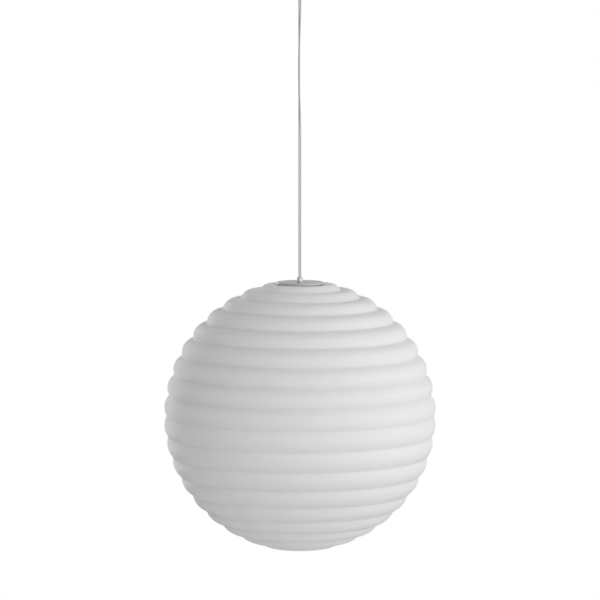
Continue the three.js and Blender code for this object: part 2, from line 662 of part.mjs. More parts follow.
// ---- Lampholder and bulb ----

function addHolder() {
  const bore = STEM_RADIUS + THREAD_GAP;
  const bottom = CAP_TOP - CAP_HEIGHT;
  const outside = HOLDER_RADIUS;
  const cap = [
    [bore, CAP_TOP],
    [bore + 4, CAP_TOP],
    [outside - 4, CAP_TOP - 3],
    [outside, CAP_TOP - 9],
    [outside, bottom],
    [outside - HOLDER_WALL, bottom],
    [outside - HOLDER_WALL, CAP_TOP - 9.5],
    [outside - 5.5, CAP_TOP - 5],
    [bore + 3.5, CAP_TOP - HOLDER_WALL],
    [bore, CAP_TOP - HOLDER_WALL],
  ];
  add("holder_cap", turned(cap), WHITE_PLASTIC);
  const nutTop = CAP_TOP - HOLDER_WALL - GAP;
  add("holder_nut", hexNut(STEM_NUT_FLATS, bore, nutTop - 3, nutTop), BRASS);

  const skirt = [
    [outside, SKIRT_TOP],
    [outside + 1, SKIRT_TOP - 2],
    [outside + 1, SKIRT_BOTTOM + 2],
    [outside - 1, SKIRT_BOTTOM],
    [SHELL_RADIUS + 0.6, SKIRT_BOTTOM],
    [SHELL_RADIUS + 0.6, SKIRT_BOTTOM + 2],
    [outside - HOLDER_WALL, SKIRT_BOTTOM + 2],
    [outside - HOLDER_WALL, SKIRT_TOP],
  ];
  add("holder_skirt", turned(skirt), WHITE_PLASTIC);

  const insertOuter = outside - HOLDER_WALL - GAP;
  const insertBottom = SKIRT_BOTTOM + 2 + GAP;
  const insert = [
    [0, SOCKET_FLOOR],
    [SHELL_RADIUS + GAP, SOCKET_FLOOR],
    [SHELL_RADIUS + GAP, insertBottom],
    [insertOuter, insertBottom],
    [insertOuter, INSERT_TOP],
    [0, INSERT_TOP],
  ];
  add("holder_insert", turned(insert), CERAMIC);
  const shellTop = SOCKET_FLOOR - GAP;
  add("thread_shell", tube(SHELL_RADIUS, SHELL_BORE, shellTop - SHELL_LENGTH, shellTop), BRASS);
  add("centre_contact", rod(3.5, HOLDER_CONTACT_BOTTOM, SOCKET_FLOOR - GAP), BRASS);
  [-1, 1].forEach((side, i) => {
    const screw = rod(2.6, INSERT_TOP + GAP, INSERT_TOP + GAP + 2.4);
    const slot = block([-4, -0.3, INSERT_TOP + GAP + 1.6], [4, 0.3, INSERT_TOP + 5]);
    add(`holder_screw_${i + 1}`, sideways(cut(screw, slot), 0, side * 10), BRASS);
  });
}

function addBulb() {
  add("bulb_contact", rod(CONTACT_RADIUS, BULB_TOP - CONTACT_HEIGHT, BULB_TOP), ZINC);
  const neck = BULB_BASE_RADIUS - 1.5;
  const base = [
    [0, BULB_BASE_TOP - 3],
    [neck - 2, BULB_BASE_TOP - 3],
    [neck, BULB_BASE_TOP - 6],
    [neck, BULB_BASE_BOTTOM],
    [BULB_BASE_RADIUS, BULB_BASE_BOTTOM],
    [BULB_BASE_RADIUS, BULB_BASE_TOP - 3],
    [CONTACT_RADIUS + 1.5, BULB_BASE_TOP],
    [0, BULB_BASE_TOP],
  ];
  add("bulb_base", turned(base), ZINC);

  const bulbBottom = BULB_BASE_BOTTOM - BULB_LENGTH;
  const centre = bulbBottom + BULB_RADIUS;
  const round = (radius, from, to, steps) =>
    Array.from({ length: steps + 1 }, (_, i) => {
      const a = ((from + ((to - from) * i) / steps) * Math.PI) / 180;
      return [radius * Math.cos(a), centre + radius * Math.sin(a)];
    });
  const sleeve = neck - GAP;
  const shoulder = BULB_BASE_BOTTOM - 4;
  const glass = [
    [0, bulbBottom],
    ...round(BULB_RADIUS, -72, 36, 6),
    [sleeve + 2.2, shoulder - 10],
    [sleeve, shoulder],
    [sleeve, BULB_BASE_BOTTOM + 10],
    [sleeve - BULB_WALL, BULB_BASE_BOTTOM + 10],
    [sleeve - BULB_WALL, shoulder],
    [sleeve + 2.2 - BULB_WALL, shoulder - 10],
    ...round(BULB_RADIUS - BULB_WALL, 36, -72, 4),
    [0, bulbBottom + BULB_WALL],
  ];
  add("bulb_glass", turned(glass), BULB_GLASS);
}

addCeilingPlate();
addStrap();
addNipple();
addTerminalBlock();
addCanopy();
addSocket();
addBall();
addCords();
addStem();
addHub();
addArms();
addGlobe();
addLid();
addHolder();
addBulb();

export default lamp;
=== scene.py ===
"""A pendant lamp: a ribbed globe of satin opal glass on a thin steel wire, with a slim flex beside it.

Metres, +Z up. The origin is the centre of the ceiling plate's top face, and the lamp hangs below it.
"""
import json
import math

import bpy
import numpy as np
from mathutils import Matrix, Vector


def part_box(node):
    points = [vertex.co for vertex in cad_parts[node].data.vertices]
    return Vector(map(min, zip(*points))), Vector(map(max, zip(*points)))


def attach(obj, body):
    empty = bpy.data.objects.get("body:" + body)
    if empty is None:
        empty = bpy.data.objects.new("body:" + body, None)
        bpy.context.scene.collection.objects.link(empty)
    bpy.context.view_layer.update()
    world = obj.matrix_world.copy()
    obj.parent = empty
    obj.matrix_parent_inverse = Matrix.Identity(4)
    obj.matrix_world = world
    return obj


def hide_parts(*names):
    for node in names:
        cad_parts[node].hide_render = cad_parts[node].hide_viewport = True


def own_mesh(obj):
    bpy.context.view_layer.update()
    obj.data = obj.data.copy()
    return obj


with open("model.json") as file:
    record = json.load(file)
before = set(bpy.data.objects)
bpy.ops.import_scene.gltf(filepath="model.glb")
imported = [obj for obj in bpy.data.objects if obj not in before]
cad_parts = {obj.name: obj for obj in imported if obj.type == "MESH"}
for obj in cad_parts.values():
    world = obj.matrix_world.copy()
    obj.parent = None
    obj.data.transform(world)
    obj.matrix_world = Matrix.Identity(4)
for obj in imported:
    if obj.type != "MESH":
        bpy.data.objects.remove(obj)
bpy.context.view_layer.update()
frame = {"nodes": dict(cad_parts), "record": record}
nodes = frame["nodes"]

MM = 0.001
FULL_TURN = 2 * math.pi

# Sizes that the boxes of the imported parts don't give
GAP = 0.3 * MM  # between two pieces that touch

RIB_ANGLE = 9  # degrees of latitude from groove to groove
LAST_GROOVE = 90 - 2 * RIB_ANGLE  # the neck rib starts here
UPPER_GROOVE = 5.5 * MM
LOWER_GROOVE = 3.5 * MM
GLASS_WALL = 3.6 * MM
CREST_WALL = 4.4 * MM
POLE_DROP = 2.6 * MM
RIB_STEPS = 16
INNER_RIB_STEPS = 7
GLOBE_SEGMENTS = 176
SEAT_RADIUS = 46 * MM
NECK_WALL = 6 * MM
NECK_RADIUS = 33 * MM
NECK_DROP = 4.4 * MM
NECK_LAND = 0.6 * MM  # the flat rim reaches this far past the lid's edge

TURNED_SEGMENTS = 160  # of the lid, gasket and canopy
CORD_HOLE = 2.7 * MM
LID_CHAMFER = 1 * MM
GASKET_HOLE = 32 * MM
CANOPY_WALL = 1.2 * MM
CANOPY_EDGE = 5 * MM  # radius of the edge between the canopy's side and its floor
CANOPY_MOUTH = 8 * MM  # radius of the hole that the cords hang from
GRUB_HOLE = 1.15 * MM
GRUB_DEPTH = 0.55 * MM

WIRE_X = -1.6 * MM
WIRE_DIAMETER = 1.2 * MM
WIRE_LAY = 9 * MM  # one turn of the strands
FLEX_DIAMETER = 2.6 * MM

HOLDER_WALL = 2 * MM
HOLDER_SEGMENTS = 144
SHELL_RADIUS = 14.8 * MM  # the lampholder's threaded shell
BULB_NECK = 12.4 * MM
BULB_WALL = 1 * MM
BULB_LEAVE = 38  # degrees above its middle where the bulb's round runs into its neck

SPRING_TURNS = 7
SPRING_WIRE = 0.35 * MM  # radius of the wire
SPRING_RADIUS = 2.3 * MM
SPRING_START = 8.5 * MM  # from the lamp's axis
SPRING_LENGTH = 13.2 * MM

# The room is brighter on the right and in front, and darker overhead and underfoot
ROOM = {"even": 0.72, "x": 0.38, "y": -0.22, "z": 0.24, "band": 0.66}
ROOM_LEAST = 0.02
LAMP_AIM = np.array([0, 0, -0.65])
LAMP_COLOUR = (1, 0.995, 0.985)
LAMPS = [  # name, place in metres, side in metres, watts
    ("rim lamp", (-1.9, 2.6, -0.5), 2.4, 17),
    ("side lamp", (3.3, -0.9, -0.5), 2.2, 5),
]
FLOOR_HALF = 2.6
FLOOR_HEIGHT = -2.4

# The flex's way: straight out of the ball, once loosely behind the wire, and straight
# again where the lid slides along it.
FLEX_ROUTE = [
    (0.00075, 0, -0.041),
    (0.00075, 0, -0.05),
    (0.00075, 0, -0.06),
    (0.00075, 0, -0.072),
    (0.00065, 0.0005, -0.088),
    (0.00025, 0.0013, -0.106),
    (-0.0006, 0.0021, -0.13),
    (-0.00115, 0.0023, -0.16),
    (-0.00115, 0.0023, -0.19),
    (-0.00085, 0.0022, -0.214),
    (-0.0001, 0.0019, -0.235),
    (0.0005, 0.0012, -0.255),
    (0.00075, 0.0004, -0.275),
    (0.00075, 0, -0.295),
    (0.00075, 0, -0.33),
    (0.00075, 0, -0.37),
    (0.00075, 0, -0.42),
    (0.00075, 0, -0.47),
    (0.00075, 0, -0.52),
    (0.00075, 0, -0.57),
    (0.00075, 0, -0.588),
]


# ---- Camera ----

def place_camera():
    """The camera looks a little down at the lamp through a long lens, from 6 metres away."""
    aim = np.array([0, 0, -0.5142])
    distance = 6
    down = math.radians(5.5)
    spot = aim + distance * np.array([0, -math.cos(down), math.sin(down)])
    data = bpy.data.cameras.new("camera")
    data.lens = 245.7
    data.clip_start = 0.1
    data.clip_end = 60
    camera = bpy.data.objects.new("camera", data)
    camera.location = spot
    camera.rotation_euler = (math.pi / 2 - down, 0, 0)
    bpy.context.scene.collection.objects.link(camera)
    bpy.context.scene.camera = camera


# ---- Surfaces ----

def surface(name, points, faces, corners=None):
    """A mesh from points and a list of face arrays, turned so that its faces point outwards.

    A closed shell's signed volume is the sum of a . (b x c) / 6 over its triangles; when it is
    below zero, every face is written the other way round. corners gives each face's corners
    their place on the surface's own map.
    """
    volume = 0
    for batch in faces:
        for k in range(1, batch.shape[1] - 1):
            a, b, c = points[batch[:, 0]], points[batch[:, k]], points[batch[:, k + 1]]
            volume += np.einsum("ij,ij->", a, np.cross(b, c))
    if volume < 0:
        faces = [batch[:, ::-1] for batch in faces]
        corners = None if corners is None else [batch[:, ::-1] for batch in corners]
    mesh = bpy.data.meshes.new(name)
    sizes = np.concatenate([np.full(len(batch), batch.shape[1]) for batch in faces])
    loops = np.concatenate([batch.ravel() for batch in faces])
    starts = np.concatenate([[0], np.cumsum(sizes)[:-1]])
    mesh.vertices.add(len(points))
    mesh.vertices.foreach_set("co", points.astype(np.float32).ravel())
    mesh.loops.add(len(loops))
    mesh.loops.foreach_set("vertex_index", loops.astype(np.int32))
    mesh.polygons.add(len(sizes))
    mesh.polygons.foreach_set("loop_start", starts.astype(np.int32))
    mesh.polygons.foreach_set("use_smooth", np.ones(len(sizes), dtype=bool))
    if corners is not None:
        layer = mesh.uv_layers.new(name="surface")
        places = np.concatenate([batch.reshape(-1, 2) for batch in corners])
        layer.data.foreach_set("uv", places.astype(np.float32).ravel())
    mesh.update(calc_edges=True)
    mesh.validate()
    piece = bpy.data.objects.new(name, mesh)
    bpy.context.scene.collection.objects.link(piece)
    return piece


def strips(rows, columns, wrap_rows=False):
    """Quads of a grid whose columns close into a ring, as four point numbers each."""
    row = np.arange(rows if wrap_rows else rows - 1)[:, None]
    column = np.arange(columns)[None, :]
    after = (row + 1) % rows
    right = (column + 1) % columns
    quads = [
        row * columns + column,
        row * columns + right,
        after * columns + right,
        after * columns + column,
    ]
    return np.stack([q + 0 * column for q in quads], axis=-1).reshape(-1, 4)


def end_fans(count, segments):
    """Two fans that close the first and the last ring onto the two points after all the rings'."""
    here = np.arange(segments)
    after = (here + 1) % segments
    last_ring = count - segments
    start, end = np.full(segments, count), np.full(segments, count + 1)
    return [
        np.stack([start, after, here], axis=-1),
        np.stack([end, last_ring + here, last_ring + after], axis=-1),
    ]


def turned(name, profile, segments):
    """A profile of (radius, height) points carried round the z axis.

    x = radius cos(angle), y = radius sin(angle), z = height. A profile whose ends lie on the
    axis closes there in one point each; any other profile closes on itself.
    """
    profile = np.asarray(profile, float)
    on_axis = profile[0, 0] == 0 and profile[-1, 0] == 0
    rings = profile[1:-1] if on_axis else profile
    angle = np.linspace(0, FULL_TURN, segments, endpoint=False)
    around = np.stack([np.cos(angle), np.sin(angle)], axis=-1)
    flat = rings[:, 0][:, None, None] * around[None]
    height = np.broadcast_to(rings[:, 1][:, None, None], (len(rings), segments, 1))
    points = np.concatenate([flat, height], axis=-1).reshape(-1, 3)
    faces = [strips(len(rings), segments, wrap_rows=not on_axis)]
    if on_axis:
        faces += end_fans(len(points), segments)
        ends = np.array([[0, 0, profile[0, 1]], [0, 0, profile[-1, 1]]])
        points = np.concatenate([points, ends])
    return surface(name, points, faces)


def rounded(corners, radius, steps=5):
    """A closed (radius, height) outline with each corner replaced by a small arc.

    Each arc is a quadratic curve from a point before the corner, pulled towards the corner,
    to a point after it.
    """
    corners = np.asarray(corners, float)
    before = np.roll(corners, 1, axis=0) - corners
    after = np.roll(corners, -1, axis=0) - corners
    reach = []
    for way in (before, after):
        length = np.linalg.norm(way, axis=1, keepdims=True)
        reach.append(corners + way / length * np.minimum(radius, 0.45 * length))
    t = np.linspace(0, 1, steps)[None, :, None]
    start, end = reach[0][:, None], reach[1][:, None]
    arcs = (1 - t) ** 2 * start + 2 * t * (1 - t) * corners[:, None] + t ** 2 * end
    return arcs.reshape(-1, 2)


def smooth_line(points, spacing):
    """Points about that far apart on a smooth line through the given ones (Catmull-Rom)."""
    points = np.asarray(points, float)
    ends = np.concatenate([[2 * points[0] - points[1]], points, [2 * points[-1] - points[-2]]])
    line = []
    for a, b, c, d in zip(ends[:-3], ends[1:-2], ends[2:-1], ends[3:]):
        count = max(2, int(round(np.linalg.norm(c - b) / spacing)))
        t = np.linspace(0, 1, count, endpoint=False)[:, None]
        bend = 2 * a - 5 * b + 4 * c - d
        line.append(0.5 * (2 * b + (c - a) * t + bend * t ** 2 + (3 * b - 3 * c + d - a) * t ** 3))
    line.append(points[-1:])
    return np.concatenate(line)


def tube(name, line, radius, segments, across=(0, 1, 0)):
    """A closed tube round a line. radius is a function of (angle round the line, way along it).

    Each ring stands square to the line: centre + radius (cos(angle) side + sin(angle) front).
    side is square to the line and to across, a direction in which the line never runs. The
    tube's own map runs once round it in u, and along it in v, in metres.
    """
    line = np.asarray(line, float)
    steps = np.linalg.norm(np.diff(line, axis=0), axis=1)
    along = np.concatenate([[0], np.cumsum(steps)])
    ahead = np.gradient(line, axis=0)
    ahead /= np.linalg.norm(ahead, axis=1, keepdims=True)
    side = np.cross(across, ahead)
    side /= np.linalg.norm(side, axis=1, keepdims=True)
    front = np.cross(ahead, side)
    angle = np.linspace(0, FULL_TURN, segments, endpoint=False)
    reach = radius(angle[None, :], along[:, None]) * np.ones((len(line), segments))
    around = np.cos(angle)[None, :, None] * side[:, None] + np.sin(angle)[None, :, None] * front[:, None]
    points = (line[:, None] + reach[..., None] * around).reshape(-1, 3)
    faces = [strips(len(line), segments), *end_fans(len(points), segments)]
    points = np.concatenate([points, line[:1], line[-1:]])
    u0 = np.tile(np.arange(segments) / segments, len(line) - 1)
    u1 = u0 + 1 / segments
    v0 = np.repeat(along[:-1], segments)
    v1 = np.repeat(along[1:], segments)
    sides_map = np.stack([np.stack(c, axis=-1) for c in ((u0, v0), (u1, v0), (u1, v1), (u0, v1))], axis=1)
    end_maps = [np.zeros((segments, 3, 2)), np.full((segments, 3, 2), [0, along[-1]])]
    return surface(name, points, faces, [sides_map, *end_maps])


def settle(piece, body, slot, *stands_for, look=None):
    """Names what a new piece rides on, its finish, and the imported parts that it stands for."""
    piece.data.materials.append(FINISHES[look or slot])
    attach(piece, body)
    if stands_for:
        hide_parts(*stands_for)
    return piece


# ---- Finishes ----

class Nodes:
    """Short ways to add shader nodes to a tree and join them."""

    def __init__(self, tree):
        self.tree = tree

    def add(self, kind, **settings):
        node = self.tree.nodes.new(kind)
        for key, value in settings.items():
            setattr(node, key, value)
        return node

    def join(self, start, end):
        self.tree.links.new(start, end)

    def calc(self, operation, first, second=None):
        """A Math node. Each input is a number or another node's output."""
        node = self.add("ShaderNodeMath", operation=operation)
        for socket, value in zip(node.inputs, (first, second)):
            if value is None:
                continue
            if isinstance(value, (int, float)):
                socket.default_value = value
            else:
                self.join(value, socket)
        return node.outputs[0]

    def spread(self, value, low, high):
        """Maps 0..1 to low..high."""
        node = self.add("ShaderNodeMapRange")
        node.inputs["To Min"].default_value = low
        node.inputs["To Max"].default_value = high
        self.join(value, node.inputs["Value"])
        return node.outputs["Result"]

    def blend(self, share, first, second):
        """A colour between two colours."""
        node = self.add("ShaderNodeMix", data_type="RGBA")
        colours = [s for s in node.inputs if s.type == "RGBA"]
        colours[0].default_value = (*first, 1)
        colours[1].default_value = (*second, 1)
        self.join(share, node.inputs["Factor"])
        return next(s for s in node.outputs if s.type == "RGBA")


def group(name, inputs, outputs, build):
    """A shader node group with named number inputs and outputs, filled by build."""
    tree = bpy.data.node_groups.new(name, "ShaderNodeTree")
    for label, kind, value in inputs:
        socket = tree.interface.new_socket(label, in_out="INPUT", socket_type=kind)
        if value is not None:
            socket.default_value = value
    for label in outputs:
        tree.interface.new_socket(label, in_out="OUTPUT", socket_type="NodeSocketFloat")
    n = Nodes(tree)
    start, end = n.add("NodeGroupInput"), n.add("NodeGroupOutput")
    build(n, start.outputs, end.inputs)
    return tree


def build_grain(n, given, result):
    """Even grain: a coarse cloud as Mottle, and fine noise as Height."""
    for label, scale in (("Mottle", "Cloud size"), ("Height", "Grain size")):
        noise = n.add("ShaderNodeTexNoise")
        noise.inputs["Detail"].default_value = 4
        n.join(given["Place"], noise.inputs["Vector"])
        n.join(given[scale], noise.inputs["Scale"])
        n.join(noise.outputs[0], result[label])


def build_turning(n, given, result):
    """Marks of a lathe tool: noise over the distance from the z axis plus the height."""
    split = n.add("ShaderNodeSeparateXYZ")
    n.join(given["Place"], split.inputs[0])
    x2 = n.calc("MULTIPLY", split.outputs[0], split.outputs[0])
    y2 = n.calc("MULTIPLY", split.outputs[1], split.outputs[1])
    radius = n.calc("SQRT", n.calc("ADD", x2, y2))
    way = n.calc("ADD", radius, n.calc("MULTIPLY", split.outputs[2], 1.3))
    for label, factor in (("Height", 1), ("Tone", 0.17)):
        noise = n.add("ShaderNodeTexNoise", noise_dimensions="1D")
        noise.inputs["Detail"].default_value = 4
        noise.inputs["Scale"].default_value = 1
        n.join(n.calc("MULTIPLY", way, n.calc("MULTIPLY", given["Marks"], factor)), noise.inputs["W"])
        n.join(noise.outputs[0], result[label])


def build_braid(n, given, result):
    """A plaited sheath: two sets of threads wind round the tube in opposite ways.

    Over is which set lies on top, Height is each thread's rounded back. As the flex's colour, Height gives
    painted shade: the sheath is darker between the threads and lighter on their backs.
    """
    split = n.add("ShaderNodeSeparateXYZ")
    n.join(given["Map"], split.inputs[0])
    turns = n.calc("MULTIPLY", split.outputs[0], given["Threads"])
    rise = n.calc("MULTIPLY", split.outputs[1], given["Pitch"])
    right = n.calc("ADD", turns, rise)
    left = n.calc("SUBTRACT", turns, rise)
    backs = []
    for way in (right, left):
        wave = n.calc("SINE", n.calc("MULTIPLY", way, FULL_TURN))
        backs.append(n.calc("ABSOLUTE", wave))
    crossing = n.calc("SINE", n.calc("MULTIPLY", n.calc("ADD", right, left), math.pi))
    over = n.calc("GREATER_THAN", crossing, 0)
    first = n.calc("MULTIPLY", backs[0], over)
    second = n.calc("MULTIPLY", backs[1], n.calc("SUBTRACT", 1, over))
    n.join(n.calc("ADD", first, second), result["Height"])
    n.join(over, result["Over"])


def number_input(label, value):
    return label, "NodeSocketFloat", value


def vector_input(label):
    return label, "NodeSocketVector", None


GRAIN = group(
    "grain",
    [vector_input("Place"), number_input("Cloud size", 12), number_input("Grain size", 900)],
    ["Mottle", "Height"],
    build_grain,
)
TURNING = group(
    "turning marks",
    [vector_input("Place"), number_input("Marks", 4000)],
    ["Height", "Tone"],
    build_turning,
)
BRAID = group(
    "braid",
    [vector_input("Map"), number_input("Threads", 8), number_input("Pitch", 900)],
    ["Height", "Over"],
    build_braid,
)

# Each pattern's group, the coordinates that it reads, and the output that colours a finish
PATTERNS = {
    "grain": (GRAIN, "Object", "Mottle"),
    "turning": (TURNING, "Object", "Tone"),
    # The braid colours by Height: painted shade between the threads, lighter on their backs.
    "braid": (BRAID, "UV", "Height"),
}


def finish(
    name, dark, light, roughness, metallic=0, pattern="grain", sizes=None, bump=0.1, depth=0.05, **fixed
):
    """A Principled finish whose colour, roughness and bump follow one of the patterns.

    depth is the bump's height in millimetres, and fixed gives other sockets of the shader.
    """
    material = bpy.data.materials.new(name)
    material.use_nodes = True
    n = Nodes(material.node_tree)
    shader = material.node_tree.nodes["Principled BSDF"]
    coordinates = n.add("ShaderNodeTexCoord")
    effect = n.add("ShaderNodeGroup")
    effect.node_tree, reads, colours_by = PATTERNS[pattern]
    n.join(coordinates.outputs[reads], effect.inputs[0])
    for label, value in (sizes or {}).items():
        effect.inputs[label].default_value = value
    tone = effect.outputs[colours_by]
    n.join(n.blend(tone, dark, light), shader.inputs["Base Color"])
    n.join(n.spread(tone, *roughness), shader.inputs["Roughness"])
    shader.inputs["Metallic"].default_value = metallic
    lift = n.add("ShaderNodeBump")
    lift.inputs["Strength"].default_value = bump
    lift.inputs["Distance"].default_value = depth * MM
    n.join(effect.outputs["Height"], lift.inputs["Height"])
    n.join(lift.outputs[0], shader.inputs["Normal"])
    for label, value in fixed.items():
        shader.inputs[label.replace("_", " ").title().replace("Ior", "IOR")].default_value = value
    return material


def make_finishes():
    return {
        "opal_glass": finish(
            "opal glass", (0.94, 0.945, 0.95), (0.96, 0.963, 0.966), (0.34, 0.42),
            sizes={"Cloud size": 9, "Grain size": 2200}, bump=0.12, depth=0.03,
            subsurface_weight=1, subsurface_radius=(0.004, 0.004, 0.004), subsurface_scale=1, ior=1.5,
        ),
        "brushed_steel": finish(
            "turned steel", (0.64, 0.645, 0.65), (0.82, 0.82, 0.82), (0.24, 0.38), 1,
            "turning", {"Marks": 5200}, bump=0.25, depth=0.03,
        ),
        "steel_wire": finish(
            "steel wire", (0.13, 0.135, 0.14), (0.26, 0.26, 0.27), (0.28, 0.45), 1,
            sizes={"Cloud size": 120, "Grain size": 6000}, bump=0.2, depth=0.02,
        ),
        # Its colour follows the braid's thread height: painted shade in the hollows between threads.
        "flex_sheath": finish(
            "flex braid", (0.56, 0.56, 0.56), (0.82, 0.82, 0.81), (0.55, 0.75), 0,
            "braid", {"Threads": 8, "Pitch": 800}, bump=0.6, depth=0.15, sheen_weight=0.2,
        ),
        "flex_tail": finish(
            "flex sheath", (0.62, 0.62, 0.62), (0.74, 0.74, 0.73), (0.5, 0.65),
            sizes={"Cloud size": 60, "Grain size": 3000}, bump=0.25, depth=0.05,
        ),
        "zinc_plated_steel": finish(
            "zinc plating", (0.42, 0.44, 0.46), (0.66, 0.68, 0.7), (0.28, 0.5), 1,
            sizes={"Cloud size": 160, "Grain size": 2600}, bump=0.15, depth=0.04,
        ),
        "brass": finish(
            "turned brass", (0.55, 0.38, 0.16), (0.8, 0.6, 0.3), (0.2, 0.38), 1,
            "turning", {"Marks": 4600}, bump=0.25, depth=0.03,
        ),
        "nylon": finish(
            "natural nylon", (0.74, 0.72, 0.65), (0.86, 0.85, 0.8), (0.38, 0.55),
            sizes={"Cloud size": 50, "Grain size": 2200}, bump=0.15, depth=0.04,
            subsurface_weight=0.25, subsurface_radius=(0.002, 0.002, 0.0015), subsurface_scale=1,
        ),
        "white_plastic": finish(
            "moulded plastic", (0.8, 0.8, 0.78), (0.88, 0.88, 0.86), (0.26, 0.4),
            sizes={"Cloud size": 40, "Grain size": 3200}, bump=0.12, depth=0.03,
        ),
        "porcelain": finish(
            "glazed porcelain", (0.8, 0.79, 0.76), (0.9, 0.89, 0.87), (0.12, 0.25),
            sizes={"Cloud size": 70, "Grain size": 900}, bump=0.06, depth=0.05,
            coat_weight=0.5, coat_roughness=0.06,
        ),
        "rubber": finish(
            "black rubber", (0.02, 0.02, 0.021), (0.05, 0.05, 0.052), (0.6, 0.85),
            sizes={"Cloud size": 90, "Grain size": 3600}, bump=0.3, depth=0.06,
        ),
        "silicone": finish(
            "white silicone", (0.62, 0.62, 0.61), (0.76, 0.76, 0.75), (0.45, 0.6),
            sizes={"Cloud size": 90, "Grain size": 3000}, bump=0.15, depth=0.04,
            subsurface_weight=0.3, subsurface_radius=(0.002, 0.002, 0.002), subsurface_scale=1,
        ),
        "bulb_glass": finish(
            "frosted bulb", (0.88, 0.88, 0.87), (0.94, 0.94, 0.93), (0.28, 0.36),
            sizes={"Cloud size": 30, "Grain size": 2600}, bump=0.08, depth=0.02,
            subsurface_weight=0.5, subsurface_radius=(0.004, 0.004, 0.004), subsurface_scale=1,
        ),
    }


# ---- Cords ----

def strand_radius(angle, along):
    """The outline of six strands laid round a seventh, turning once in each lay length.

    Between two strands the outline dips, no deeper than the filler wires in the valley.
    """
    strand = WIRE_DIAMETER / 6
    centre = 2 * strand
    turned_by = angle + FULL_TURN * along / WIRE_LAY
    off = (turned_by + math.pi / 6) % (math.pi / 3) - math.pi / 6
    outline = centre * np.cos(off) + np.sqrt(np.maximum(strand ** 2 - (centre * np.sin(off)) ** 2, 0))
    return np.maximum(outline, 0.78 * WIRE_DIAMETER / 2)


def make_cords():
    """The wire, straight between its two stops, and the flex on its smooth way beside it."""
    low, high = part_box("suspension_wire")
    line = np.linspace([WIRE_X, 0, high.z], [WIRE_X, 0, low.z], 600)
    wire = settle(tube("wire", line, strand_radius, 36), "pendant", "steel_wire", "suspension_wire")

    way = smooth_line(FLEX_ROUTE, 2 * MM)
    flex = tube("flex", way, lambda angle, along: FLEX_DIAMETER / 2, 28)
    settle(flex, "pendant", "flex_sheath", "power_flex")


# ---- Globe ----

def groove_depth(latitude, top, top_dip):
    """How far the outside lies under the round of the globe at each latitude, in degrees.

    Within a rib the depth grows with the square of the distance from its crest, and the
    narrow bottom of each groove is rounded. Above the equator the grooves are deeper. The
    bottom cap is a low swell whose depth grows with the sixth power towards its groove.
    """
    place = (latitude + 90) / RIB_ANGLE
    rib = np.floor(place)
    share = place - rib
    in_top = latitude > LAST_GROOVE
    share = np.where(in_top, (latitude - LAST_GROOVE) / (top - LAST_GROOVE), share)
    to_groove = 1 - np.abs(2 * share - 1)
    soft = 0.1
    rounding = (np.sqrt(to_groove ** 2 + soft ** 2) - soft) / (math.sqrt(1 + soft ** 2) - soft)
    shape = 0.9 * (1 - rounding) ** 2 + 0.1 * (1 - rounding) ** 6
    nearest = (rib + (share > 0.5)) * RIB_ANGLE - 90
    deep = np.where(nearest > 0, UPPER_GROOVE, LOWER_GROOVE)
    deep = np.where(in_top & (share > 0.5), top_dip, deep)
    to_pole = np.clip(place, 0, 1)
    swell = 0.5 * MM * np.sin(math.pi * to_pole)
    cap = POLE_DROP - swell + (LOWER_GROOVE - POLE_DROP) * to_pole ** 6
    return np.where(latitude < -90 + RIB_ANGLE, cap, deep * shape)


def make_globe():
    """The globe's wall: outside down from the neck rim to the pole, inside back up to the seat."""
    low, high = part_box("glass_globe")
    radius = (high.x - low.x) / 2
    middle = low.z + radius - POLE_DROP
    neck = middle + math.sqrt(radius ** 2 - NECK_RADIUS ** 2) - NECK_DROP
    seat = neck - NECK_WALL
    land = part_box("neck_lid")[1].x + NECK_LAND
    top = math.degrees(math.atan2(neck - middle, land))
    top_dip = radius - math.hypot(land, neck - middle)

    def at(distance, latitude):
        angle = np.radians(latitude)
        return np.stack([distance * np.cos(angle), middle + distance * np.sin(angle)], axis=-1)

    first_grooves = np.arange(-90, LAST_GROOVE, RIB_ANGLE)
    steps = np.linspace(0, 1, RIB_STEPS + 1)[:-1]
    crowded = 0.5 * (1 - np.cos(math.pi * steps)) / 2 + 0.5 * steps
    outer = (first_grooves[:, None] + RIB_ANGLE * crowded[None, :]).ravel()
    outer = np.concatenate([outer, LAST_GROOVE + (top - LAST_GROOVE) * crowded, [top]])
    outside = at(radius - groove_depth(outer, top, top_dip), outer)
    outside[0, 0] = 0

    inner = np.linspace(-90, LAST_GROOVE, len(first_grooves) * INNER_RIB_STEPS + 1)
    dips = groove_depth(inner, top, top_dip)
    wall = CREST_WALL - (CREST_WALL - GLASS_WALL) * np.clip(dips / UPPER_GROOVE, 0, 1)
    inside = at(radius - dips - wall, inner)
    inside[0, 0] = 0
    corners = [(SEAT_RADIUS, seat), (NECK_RADIUS, seat), (NECK_RADIUS, neck), (land, neck)]
    # Half of the seat's first arc, both arcs of the neck, and the start of the flat rim's edge
    rim = rounded(corners, 0.8 * MM)[2:16]
    profile = np.concatenate([inside, rim, outside[::-1]])
    settle(turned("globe", profile, GLOBE_SEGMENTS), "pendant", "opal_glass", "glass_globe")


# ---- Turned pieces ----

def make_turned_pieces():
    """Lid, gasket and canopy, each from its own outline."""
    low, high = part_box("neck_lid")
    lid = [
        (CORD_HOLE, low.z), (high.x, low.z), (high.x, high.z - LID_CHAMFER),
        (high.x - LID_CHAMFER, high.z), (CORD_HOLE, high.z),
    ]
    settle(turned("lid", rounded(lid, 0.45 * MM), TURNED_SEGMENTS), "lid", "brushed_steel", "neck_lid")

    low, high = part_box("lid_gasket")
    ring = [(GASKET_HOLE, low.z), (high.x, low.z), (high.x, high.z), (GASKET_HOLE, high.z)]
    settle(turned("gasket", rounded(ring, 0.3 * MM), TURNED_SEGMENTS), "lid", "silicone", "lid_gasket")

    low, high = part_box("canopy_cup")
    canopy = turned("canopy", canopy_outline(high.x, low.z, high.z), TURNED_SEGMENTS)
    settle(canopy, "ceiling_mount", "brushed_steel", "canopy_cup")


